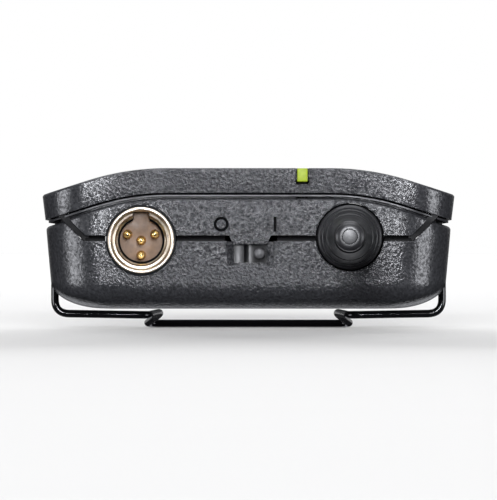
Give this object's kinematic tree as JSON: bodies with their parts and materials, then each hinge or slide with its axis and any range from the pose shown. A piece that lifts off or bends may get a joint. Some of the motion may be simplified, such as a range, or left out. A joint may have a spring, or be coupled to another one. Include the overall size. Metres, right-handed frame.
{
  "type": "wireless bodypack transmitter",
  "caption": "Belt-worn wireless microphone transmitter: arched case with flexible antenna, keyed round socket, slide switch, battery door and wire belt clip.",
  "frame": {"origin": "under the middle of the whole part, antenna and belt clip included, at the height of the clip's lowest point", "axes": "+X across the case, to the right when looking at the socket end; +Y from the socket end to the hinge end; +Z from the back with the belt clip to the front cover"},
  "size_m": [0.0636, 0.19, 0.025],
  "materials": {
    "case_plastic": "fine spark-eroded grain",
    "frame_plastic": "fine grain, satin edge",
    "inner_plastic": "satin moulded",
    "slider_plastic": "polished",
    "latch_plastic": "satin moulded with ribs",
    "bezel_plastic": "semi-gloss",
    "knob_plastic": "satin moulded",
    "button_plastic": "satin moulded",
    "pot_plastic": "moulded",
    "switch_plastic": "moulded",
    "light_pipe": "clear green, lit",
    "display_glass": "clear polished",
    "display_black": "smooth",
    "board_green": "solder mask",
    "led_white": "epoxy",
    "tinned_steel": "tinned",
    "nickel_shell": "warm satin nickel",
    "insert_plastic": "moulded",
    "gold_contact": "gold plated, polished",
    "antenna_rubber": "matt",
    "antenna_metal": "drawn",
    "cell_wrap": "printed sleeve without marks",
    "foam": "closed-cell foam",
    "clip_wire": "gloss black",
    "screw_steel": "black oxide",
    "label_foil": "satin silver, blank"
  },
  "bodies": {
    "case": {"rear_housing": "case_plastic", "mid_frame": "frame_plastic", "end_panel": "case_plastic", "front_bezel": "case_plastic", "led_lens": "light_pipe", "status_led": "led_white", "main_board": "board_green", "rf_shield": "tinned_steel", "socket_shell": "nickel_shell", "socket_insert": "insert_plastic", "socket_pins": "gold_contact", "socket_nut": "nickel_shell", "socket_bezel": "bezel_plastic", "antenna_jacket": "antenna_rubber", "antenna_wire": "antenna_metal", "antenna_base": "tinned_steel", "switch_body": "switch_plastic", "battery_tray": "inner_plastic", "cell_left": "cell_wrap", "cell_right": "cell_wrap", "contact_springs": "tinned_steel", "contact_plates": "tinned_steel", "contact_bridge": "tinned_steel", "control_panel": "inner_plastic", "display_module": "display_black", "display_window": "display_glass", "gain_pot": "pot_plastic", "tact_switches": "switch_plastic", "door_hinge_pin": "tinned_steel", "housing_screws": "screw_steel", "board_screws": "tinned_steel", "rear_label": "label_foil"},
    "slider": {"switch_slider": "slider_plastic"},
    "door": {"battery_door": "case_plastic", "door_pad": "foam"},
    "latch_l": {"latch_left": "latch_plastic"},
    "latch_r": {"latch_right": "latch_plastic"},
    "clip": {"belt_clip": "clip_wire"},
    "gain": {"gain_knob": "knob_plastic"},
    "group": {"group_button": "button_plastic"},
    "channel": {"channel_button": "button_plastic"}
  },
  "joints": [
    {"name": "power_switch", "type": "slide", "parent": "case", "child": "slider", "axis": [1, 0, 0], "range_m": [-0.0029, 0]},
    {"name": "door_hinge", "type": "hinge", "parent": "case", "child": "door", "pos_m": [0, 0.0915, 0.0181], "axis": [-1, 0, 0], "range_deg": [0, 100]},
    {"name": "left_latch", "type": "slide", "parent": "case", "child": "latch_l", "axis": [1, 0, 0], "range_m": [0, 0.001], "stiffness_N_per_m": 600, "springref_m": -0.0005},
    {"name": "right_latch", "type": "slide", "parent": "case", "child": "latch_r", "axis": [-1, 0, 0], "range_m": [0, 0.001], "stiffness_N_per_m": 600, "springref_m": -0.0005},
    {"name": "clip_pivot", "type": "hinge", "parent": "case", "child": "clip", "pos_m": [0, 0.007, 0.0079], "axis": [-1, 0, 0], "range_deg": [0, 15], "stiffness_Nm_per_rad": 0.4, "springref_deg": -11.46},
    {"name": "gain_turn", "type": "hinge", "parent": "case", "child": "gain", "pos_m": [-0.018, 0.0235, 0.0173], "axis": [0, 0, -1], "range_deg": [-135, 135]},
    {"name": "group_press", "type": "slide", "parent": "case", "child": "group", "axis": [0, 0, -1], "range_m": [0, 0.0004], "stiffness_N_per_m": 500, "springref_m": -0.0004},
    {"name": "channel_press", "type": "slide", "parent": "case", "child": "channel", "axis": [0, 0, -1], "range_m": [0, 0.0004], "stiffness_N_per_m": 500, "springref_m": -0.0004}
  ]
}
